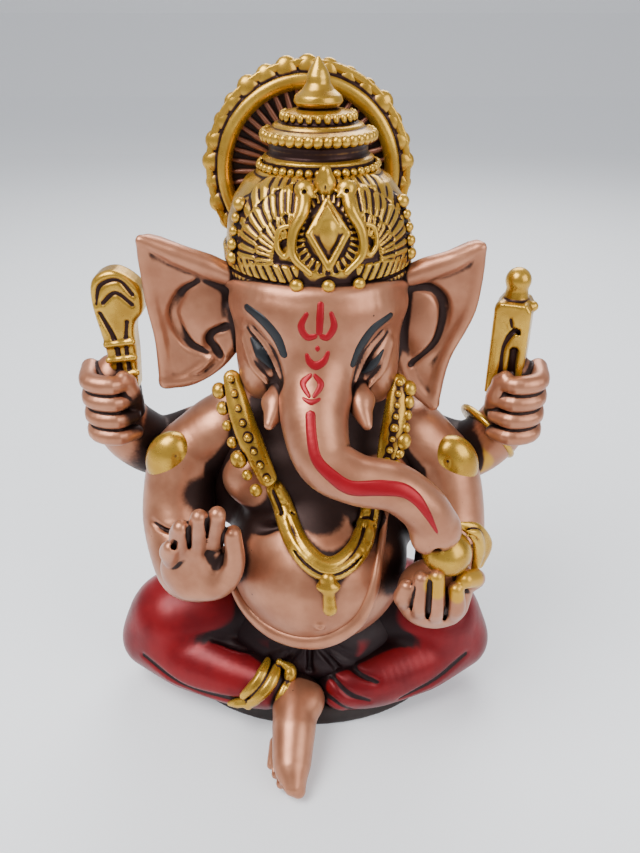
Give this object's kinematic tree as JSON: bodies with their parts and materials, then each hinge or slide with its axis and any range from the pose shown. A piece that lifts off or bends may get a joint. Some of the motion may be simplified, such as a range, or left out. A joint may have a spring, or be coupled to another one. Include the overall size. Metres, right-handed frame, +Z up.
{
  "type": "ganesha idol",
  "caption": "Small seated elephant-headed idol with four arms, high crown and rayed halo on an oval plinth, for a home shrine or shelf.",
  "frame": {"origin": "on the plinth's flat underside, below the crown's axis to within 2 mm", "axes": "+Z up through the crown, the face looks along -Y, +X to the idol's own left"},
  "size_m": [0.0676, 0.0467, 0.0973],
  "materials": {
    "copper_paint": "satin rose-copper metallic paint over cast resin, with a dark brown wash left in the hollows",
    "gold_paint": "glossy gold paint over cast resin, dark brown wash in the carving",
    "red_paint": "satin red paint over cast resin, black-brown wash in the folds",
    "dark_paint": "satin black-brown paint over cast resin"
  },
  "bodies": {
    "root": {"axe": "gold_paint", "base_plinth": "dark_paint", "crown_bowl": "gold_paint", "crown_drop": "gold_paint", "crown_finial": "gold_paint", "crown_jewel": "gold_paint", "crown_tiers": "gold_paint", "dhoti_seat": "red_paint", "halo_disc": "dark_paint", "halo_rim": "gold_paint", "head": "copper_paint", "left_armlet": "gold_paint", "left_bracelet": "gold_paint", "left_cupped_hand": "copper_paint", "left_ear": "copper_paint", "left_fist": "copper_paint", "left_front_arm": "copper_paint", "left_garland": "gold_paint", "left_leg": "red_paint", "left_peacock": "gold_paint", "left_rear_arm": "copper_paint", "left_tusk": "copper_paint", "mace": "gold_paint", "modak": "gold_paint", "modak_leaf": "gold_paint", "necklace": "gold_paint", "necklace_pendant": "gold_paint", "right_anklet": "gold_paint", "right_armlet": "gold_paint", "right_ear": "copper_paint", "right_fist": "copper_paint", "right_foot": "copper_paint", "right_front_arm": "copper_paint", "right_garland": "gold_paint", "right_leg": "red_paint", "right_open_hand": "copper_paint", "right_peacock": "gold_paint", "right_rear_arm": "copper_paint", "right_tusk": "copper_paint", "sacred_thread": "copper_paint", "torso": "copper_paint", "trunk": "copper_paint"}
  },
  "joints": []
}
